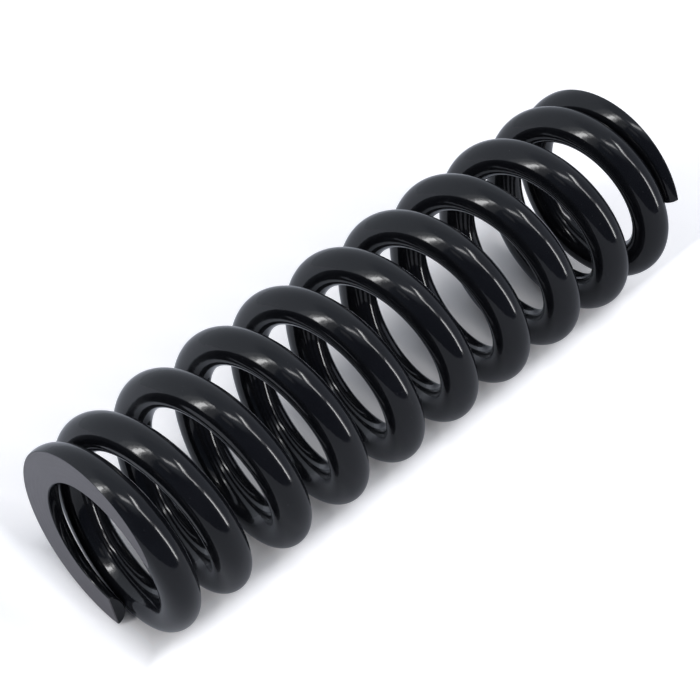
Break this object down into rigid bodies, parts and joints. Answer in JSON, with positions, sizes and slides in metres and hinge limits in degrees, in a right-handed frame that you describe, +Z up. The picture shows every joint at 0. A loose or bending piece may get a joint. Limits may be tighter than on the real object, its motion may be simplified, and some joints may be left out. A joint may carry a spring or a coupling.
{
  "type": "coil spring",
  "caption": "Black round-wire compression spring, right-hand wound, with closed ends ground flat, lying on its side.",
  "frame": {"origin": "centre of the lower ground seat face, on the spring's axis", "axes": "+X runs along the spring's axis from the lower seat to the upper seat, +Z is up with the spring lying on its side, +Y completes the right-handed frame"},
  "size_m": [0.2055, 0.064, 0.064],
  "materials": {
    "black_coat": "high-gloss black powder coat on steel wire",
    "end_coil_coat": "high-gloss black powder coat, satin where it covers the ground seat face"
  },
  "bodies": {
    "lower_end": {"lower_end_coil": "end_coil_coat", "coil_1_quarter_1": "black_coat"},
    "coil_1_quarter_2": {"coil_1_quarter_2": "black_coat"},
    "coil_1_quarter_3": {"coil_1_quarter_3": "black_coat"},
    "coil_1_quarter_4": {"coil_1_quarter_4": "black_coat"},
    "coil_2_quarter_1": {"coil_2_quarter_1": "black_coat"},
    "coil_2_quarter_2": {"coil_2_quarter_2": "black_coat"},
    "coil_2_quarter_3": {"coil_2_quarter_3": "black_coat"},
    "coil_2_quarter_4": {"coil_2_quarter_4": "black_coat"},
    "coil_3_quarter_1": {"coil_3_quarter_1": "black_coat"},
    "coil_3_quarter_2": {"coil_3_quarter_2": "black_coat"},
    "coil_3_quarter_3": {"coil_3_quarter_3": "black_coat"},
    "coil_3_quarter_4": {"coil_3_quarter_4": "black_coat"},
    "coil_4_quarter_1": {"coil_4_quarter_1": "black_coat"},
    "coil_4_quarter_2": {"coil_4_quarter_2": "black_coat"},
    "coil_4_quarter_3": {"coil_4_quarter_3": "black_coat"},
    "coil_4_quarter_4": {"coil_4_quarter_4": "black_coat"},
    "coil_5_quarter_1": {"coil_5_quarter_1": "black_coat"},
    "coil_5_quarter_2": {"coil_5_quarter_2": "black_coat"},
    "coil_5_quarter_3": {"coil_5_quarter_3": "black_coat"},
    "coil_5_quarter_4": {"coil_5_quarter_4": "black_coat"},
    "coil_6_quarter_1": {"coil_6_quarter_1": "black_coat"},
    "coil_6_quarter_2": {"coil_6_quarter_2": "black_coat"},
    "coil_6_quarter_3": {"coil_6_quarter_3": "black_coat"},
    "coil_6_quarter_4": {"coil_6_quarter_4": "black_coat"},
    "coil_7_quarter_1": {"coil_7_quarter_1": "black_coat"},
    "coil_7_quarter_2": {"coil_7_quarter_2": "black_coat"},
    "coil_7_quarter_3": {"coil_7_quarter_3": "black_coat"},
    "coil_7_quarter_4": {"coil_7_quarter_4": "black_coat"},
    "coil_8_quarter_1": {"coil_8_quarter_1": "black_coat"},
    "coil_8_quarter_2": {"coil_8_quarter_2": "black_coat"},
    "coil_8_quarter_3": {"coil_8_quarter_3": "black_coat"},
    "coil_8_quarter_4": {"coil_8_quarter_4": "black_coat"},
    "coil_9_quarter_1": {"coil_9_quarter_1": "black_coat"},
    "coil_9_quarter_2": {"coil_9_quarter_2": "black_coat"},
    "upper_end": {"coil_9_quarter_3": "black_coat", "upper_end_coil": "end_coil_coat"}
  },
  "joints": [
    {"name": "coil_1_quarter_2_squeeze", "type": "slide", "parent": "lower_end", "child": "coil_1_quarter_2", "axis": [-1, 0, 0], "range_m": [0, 0.00092]},
    {"name": "coil_1_quarter_3_squeeze", "type": "slide", "parent": "lower_end", "child": "coil_1_quarter_3", "axis": [-1, 0, 0], "range_m": [0, 0.00272]},
    {"name": "coil_1_quarter_4_squeeze", "type": "slide", "parent": "lower_end", "child": "coil_1_quarter_4", "axis": [-1, 0, 0], "range_m": [0, 0.00497]},
    {"name": "coil_2_quarter_1_squeeze", "type": "slide", "parent": "lower_end", "child": "coil_2_quarter_1", "axis": [-1, 0, 0], "range_m": [0, 0.00722]},
    {"name": "coil_2_quarter_2_squeeze", "type": "slide", "parent": "lower_end", "child": "coil_2_quarter_2", "axis": [-1, 0, 0], "range_m": [0, 0.00947]},
    {"name": "coil_2_quarter_3_squeeze", "type": "slide", "parent": "lower_end", "child": "coil_2_quarter_3", "axis": [-1, 0, 0], "range_m": [0, 0.01172]},
    {"name": "coil_2_quarter_4_squeeze", "type": "slide", "parent": "lower_end", "child": "coil_2_quarter_4", "axis": [-1, 0, 0], "range_m": [0, 0.01397]},
    {"name": "coil_3_quarter_1_squeeze", "type": "slide", "parent": "lower_end", "child": "coil_3_quarter_1", "axis": [-1, 0, 0], "range_m": [0, 0.01622]},
    {"name": "coil_3_quarter_2_squeeze", "type": "slide", "parent": "lower_end", "child": "coil_3_quarter_2", "axis": [-1, 0, 0], "range_m": [0, 0.01847]},
    {"name": "coil_3_quarter_3_squeeze", "type": "slide", "parent": "lower_end", "child": "coil_3_quarter_3", "axis": [-1, 0, 0], "range_m": [0, 0.02072]},
    {"name": "coil_3_quarter_4_squeeze", "type": "slide", "parent": "lower_end", "child": "coil_3_quarter_4", "axis": [-1, 0, 0], "range_m": [0, 0.02297]},
    {"name": "coil_4_quarter_1_squeeze", "type": "slide", "parent": "lower_end", "child": "coil_4_quarter_1", "axis": [-1, 0, 0], "range_m": [0, 0.02522]},
    {"name": "coil_4_quarter_2_squeeze", "type": "slide", "parent": "lower_end", "child": "coil_4_quarter_2", "axis": [-1, 0, 0], "range_m": [0, 0.02747]},
    {"name": "coil_4_quarter_3_squeeze", "type": "slide", "parent": "lower_end", "child": "coil_4_quarter_3", "axis": [-1, 0, 0], "range_m": [0, 0.02972]},
    {"name": "coil_4_quarter_4_squeeze", "type": "slide", "parent": "lower_end", "child": "coil_4_quarter_4", "axis": [-1, 0, 0], "range_m": [0, 0.03197]},
    {"name": "coil_5_quarter_1_squeeze", "type": "slide", "parent": "lower_end", "child": "coil_5_quarter_1", "axis": [-1, 0, 0], "range_m": [0, 0.03422]},
    {"name": "coil_5_quarter_2_squeeze", "type": "slide", "parent": "lower_end", "child": "coil_5_quarter_2", "axis": [-1, 0, 0], "range_m": [0, 0.03647]},
    {"name": "coil_5_quarter_3_squeeze", "type": "slide", "parent": "lower_end", "child": "coil_5_quarter_3", "axis": [-1, 0, 0], "range_m": [0, 0.03872]},
    {"name": "coil_5_quarter_4_squeeze", "type": "slide", "parent": "lower_end", "child": "coil_5_quarter_4", "axis": [-1, 0, 0], "range_m": [0, 0.04097]},
    {"name": "coil_6_quarter_1_squeeze", "type": "slide", "parent": "lower_end", "child": "coil_6_quarter_1", "axis": [-1, 0, 0], "range_m": [0, 0.04322]},
    {"name": "coil_6_quarter_2_squeeze", "type": "slide", "parent": "lower_end", "child": "coil_6_quarter_2", "axis": [-1, 0, 0], "range_m": [0, 0.04547]},
    {"name": "coil_6_quarter_3_squeeze", "type": "slide", "parent": "lower_end", "child": "coil_6_quarter_3", "axis": [-1, 0, 0], "range_m": [0, 0.04772]},
    {"name": "coil_6_quarter_4_squeeze", "type": "slide", "parent": "lower_end", "child": "coil_6_quarter_4", "axis": [-1, 0, 0], "range_m": [0, 0.04997]},
    {"name": "coil_7_quarter_1_squeeze", "type": "slide", "parent": "lower_end", "child": "coil_7_quarter_1", "axis": [-1, 0, 0], "range_m": [0, 0.05222]},
    {"name": "coil_7_quarter_2_squeeze", "type": "slide", "parent": "lower_end", "child": "coil_7_quarter_2", "axis": [-1, 0, 0], "range_m": [0, 0.05447]},
    {"name": "coil_7_quarter_3_squeeze", "type": "slide", "parent": "lower_end", "child": "coil_7_quarter_3", "axis": [-1, 0, 0], "range_m": [0, 0.05672]},
    {"name": "coil_7_quarter_4_squeeze", "type": "slide", "parent": "lower_end", "child": "coil_7_quarter_4", "axis": [-1, 0, 0], "range_m": [0, 0.05897]},
    {"name": "coil_8_quarter_1_squeeze", "type": "slide", "parent": "lower_end", "child": "coil_8_quarter_1", "axis": [-1, 0, 0], "range_m": [0, 0.06122]},
    {"name": "coil_8_quarter_2_squeeze", "type": "slide", "parent": "lower_end", "child": "coil_8_quarter_2", "axis": [-1, 0, 0], "range_m": [0, 0.06347]},
    {"name": "coil_8_quarter_3_squeeze", "type": "slide", "parent": "lower_end", "child": "coil_8_quarter_3", "axis": [-1, 0, 0], "range_m": [0, 0.06572]},
    {"name": "coil_8_quarter_4_squeeze", "type": "slide", "parent": "lower_end", "child": "coil_8_quarter_4", "axis": [-1, 0, 0], "range_m": [0, 0.06797]},
    {"name": "coil_9_quarter_1_squeeze", "type": "slide", "parent": "lower_end", "child": "coil_9_quarter_1", "axis": [-1, 0, 0], "range_m": [0, 0.07022]},
    {"name": "coil_9_quarter_2_squeeze", "type": "slide", "parent": "lower_end", "child": "coil_9_quarter_2", "axis": [-1, 0, 0], "range_m": [0, 0.07202]},
    {"name": "spring_squeeze", "type": "slide", "parent": "lower_end", "child": "upper_end", "axis": [-1, 0, 0], "range_m": [0, 0.0729], "stiffness_N_per_m": 107000}
  ],
  "couplings": [
    {"joint": "coil_1_quarter_2_squeeze", "follows": "spring_squeeze", "ratio": 0.012346},
    {"joint": "coil_1_quarter_3_squeeze", "follows": "spring_squeeze", "ratio": 0.037037},
    {"joint": "coil_1_quarter_4_squeeze", "follows": "spring_squeeze", "ratio": 0.067901},
    {"joint": "coil_2_quarter_1_squeeze", "follows": "spring_squeeze", "ratio": 0.098765},
    {"joint": "coil_2_quarter_2_squeeze", "follows": "spring_squeeze", "ratio": 0.12963},
    {"joint": "coil_2_quarter_3_squeeze", "follows": "spring_squeeze", "ratio": 0.16049},
    {"joint": "coil_2_quarter_4_squeeze", "follows": "spring_squeeze", "ratio": 0.19136},
    {"joint": "coil_3_quarter_1_squeeze", "follows": "spring_squeeze", "ratio": 0.22222},
    {"joint": "coil_3_quarter_2_squeeze", "follows": "spring_squeeze", "ratio": 0.25309},
    {"joint": "coil_3_quarter_3_squeeze", "follows": "spring_squeeze", "ratio": 0.28395},
    {"joint": "coil_3_quarter_4_squeeze", "follows": "spring_squeeze", "ratio": 0.31482},
    {"joint": "coil_4_quarter_1_squeeze", "follows": "spring_squeeze", "ratio": 0.34568},
    {"joint": "coil_4_quarter_2_squeeze", "follows": "spring_squeeze", "ratio": 0.37654},
    {"joint": "coil_4_quarter_3_squeeze", "follows": "spring_squeeze", "ratio": 0.40741},
    {"joint": "coil_4_quarter_4_squeeze", "follows": "spring_squeeze", "ratio": 0.43827},
    {"joint": "coil_5_quarter_1_squeeze", "follows": "spring_squeeze", "ratio": 0.46914},
    {"joint": "coil_5_quarter_2_squeeze", "follows": "spring_squeeze", "ratio": 0.5},
    {"joint": "coil_5_quarter_3_squeeze", "follows": "spring_squeeze", "ratio": 0.53086},
    {"joint": "coil_5_quarter_4_squeeze", "follows": "spring_squeeze", "ratio": 0.56173},
    {"joint": "coil_6_quarter_1_squeeze", "follows": "spring_squeeze", "ratio": 0.59259},
    {"joint": "coil_6_quarter_2_squeeze", "follows": "spring_squeeze", "ratio": 0.62346},
    {"joint": "coil_6_quarter_3_squeeze", "follows": "spring_squeeze", "ratio": 0.65432},
    {"joint": "coil_6_quarter_4_squeeze", "follows": "spring_squeeze", "ratio": 0.68519},
    {"joint": "coil_7_quarter_1_squeeze", "follows": "spring_squeeze", "ratio": 0.71605},
    {"joint": "coil_7_quarter_2_squeeze", "follows": "spring_squeeze", "ratio": 0.74691},
    {"joint": "coil_7_quarter_3_squeeze", "follows": "spring_squeeze", "ratio": 0.77778},
    {"joint": "coil_7_quarter_4_squeeze", "follows": "spring_squeeze", "ratio": 0.80864},
    {"joint": "coil_8_quarter_1_squeeze", "follows": "spring_squeeze", "ratio": 0.83951},
    {"joint": "coil_8_quarter_2_squeeze", "follows": "spring_squeeze", "ratio": 0.87037},
    {"joint": "coil_8_quarter_3_squeeze", "follows": "spring_squeeze", "ratio": 0.90124},
    {"joint": "coil_8_quarter_4_squeeze", "follows": "spring_squeeze", "ratio": 0.9321},
    {"joint": "coil_9_quarter_1_squeeze", "follows": "spring_squeeze", "ratio": 0.96296},
    {"joint": "coil_9_quarter_2_squeeze", "follows": "spring_squeeze", "ratio": 0.98765}
  ]
}
